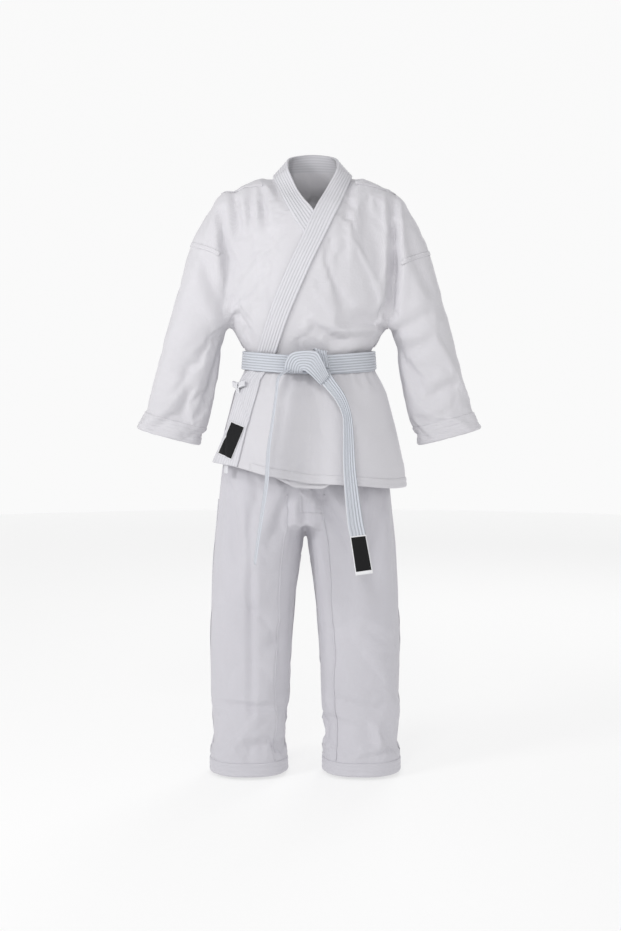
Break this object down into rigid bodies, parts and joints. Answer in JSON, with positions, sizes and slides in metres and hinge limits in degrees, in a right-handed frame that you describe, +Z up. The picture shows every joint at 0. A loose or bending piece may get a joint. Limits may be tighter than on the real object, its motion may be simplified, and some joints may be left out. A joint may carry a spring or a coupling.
{
  "type": "martial arts uniform",
  "caption": "Crossover canvas jacket with wide sleeves, stitched lapel band and knotted flat belt, over loose straight trousers; sleeves, trouser legs and belt tails swing.",
  "frame": {"origin": "between the shoulders, at the height where they carry the jacket", "axes": "+Z up, front faces -Y, wearer's left is +X"},
  "size_m": [0.7708, 0.3686, 1.393],
  "materials": {
    "jacket_canvas": "matte",
    "jacket_band": "matte",
    "trouser_canvas": "matte",
    "belt_webbing": "satin",
    "tie_tape": "matte",
    "elastic": "matte",
    "label_black": "satin"
  },
  "bodies": {
    "uniform": {"back_hem": "jacket_canvas", "belt_inner_wrap": "belt_webbing", "belt_knot": "belt_webbing", "belt_outer_wrap": "belt_webbing", "collar": "jacket_band", "crotch_gusset": "trouser_canvas", "inner_tie_tape": "tie_tape", "jacket_label": "label_black", "left_back_panel": "jacket_canvas", "left_front_hem": "jacket_canvas", "left_front_panel": "jacket_canvas", "left_hip_panel": "trouser_canvas", "left_lapel": "jacket_band", "left_shoulder_cap": "jacket_canvas", "left_shoulder_yoke": "jacket_canvas", "outer_tie_bow": "tie_tape", "outer_tie_tape": "tie_tape", "right_back_panel": "jacket_canvas", "right_front_hem": "jacket_canvas", "right_front_panel": "jacket_canvas", "right_hip_panel": "trouser_canvas", "right_lapel": "jacket_band", "right_shoulder_cap": "jacket_canvas", "right_shoulder_yoke": "jacket_canvas", "waist_elastic": "elastic", "waistband": "trouser_canvas"},
    "left_sleeve": {"left_sleeve": "jacket_canvas", "left_cuff": "jacket_canvas"},
    "right_sleeve": {"right_sleeve": "jacket_canvas", "right_cuff": "jacket_canvas"},
    "left_leg": {"left_leg": "trouser_canvas", "left_leg_hem": "trouser_canvas"},
    "right_leg": {"right_leg": "trouser_canvas", "right_leg_hem": "trouser_canvas"},
    "left_belt_tail": {"left_belt_tail": "belt_webbing", "belt_label": "label_black"},
    "right_belt_tail": {"right_belt_tail": "belt_webbing"}
  },
  "joints": [
    {"name": "left_sleeve_raise", "type": "hinge", "parent": "uniform", "child": "left_sleeve", "pos_m": [0.188, 0, -0.017], "axis": [0, -1, 0], "range_deg": [0, 70]},
    {"name": "right_sleeve_raise", "type": "hinge", "parent": "uniform", "child": "right_sleeve", "pos_m": [-0.188, 0, -0.017], "axis": [0, 1, 0], "range_deg": [0, 70]},
    {"name": "left_leg_stride", "type": "hinge", "parent": "uniform", "child": "left_leg", "pos_m": [-0.009, 0, -0.61], "axis": [-1, 0, 0], "range_deg": [-20, 20]},
    {"name": "right_leg_stride", "type": "hinge", "parent": "uniform", "child": "right_leg", "pos_m": [-0.009, 0, -0.61], "axis": [-1, 0, 0], "range_deg": [-20, 20]},
    {"name": "left_belt_tail_swing", "type": "hinge", "parent": "uniform", "child": "left_belt_tail", "pos_m": [0.04, -0.146, -0.396], "axis": [-1, 0, 0], "range_deg": [0, 70]},
    {"name": "right_belt_tail_swing", "type": "hinge", "parent": "uniform", "child": "right_belt_tail", "pos_m": [-0.054, -0.166, -0.396], "axis": [0, 1, 0], "range_deg": [0, 60]}
  ]
}
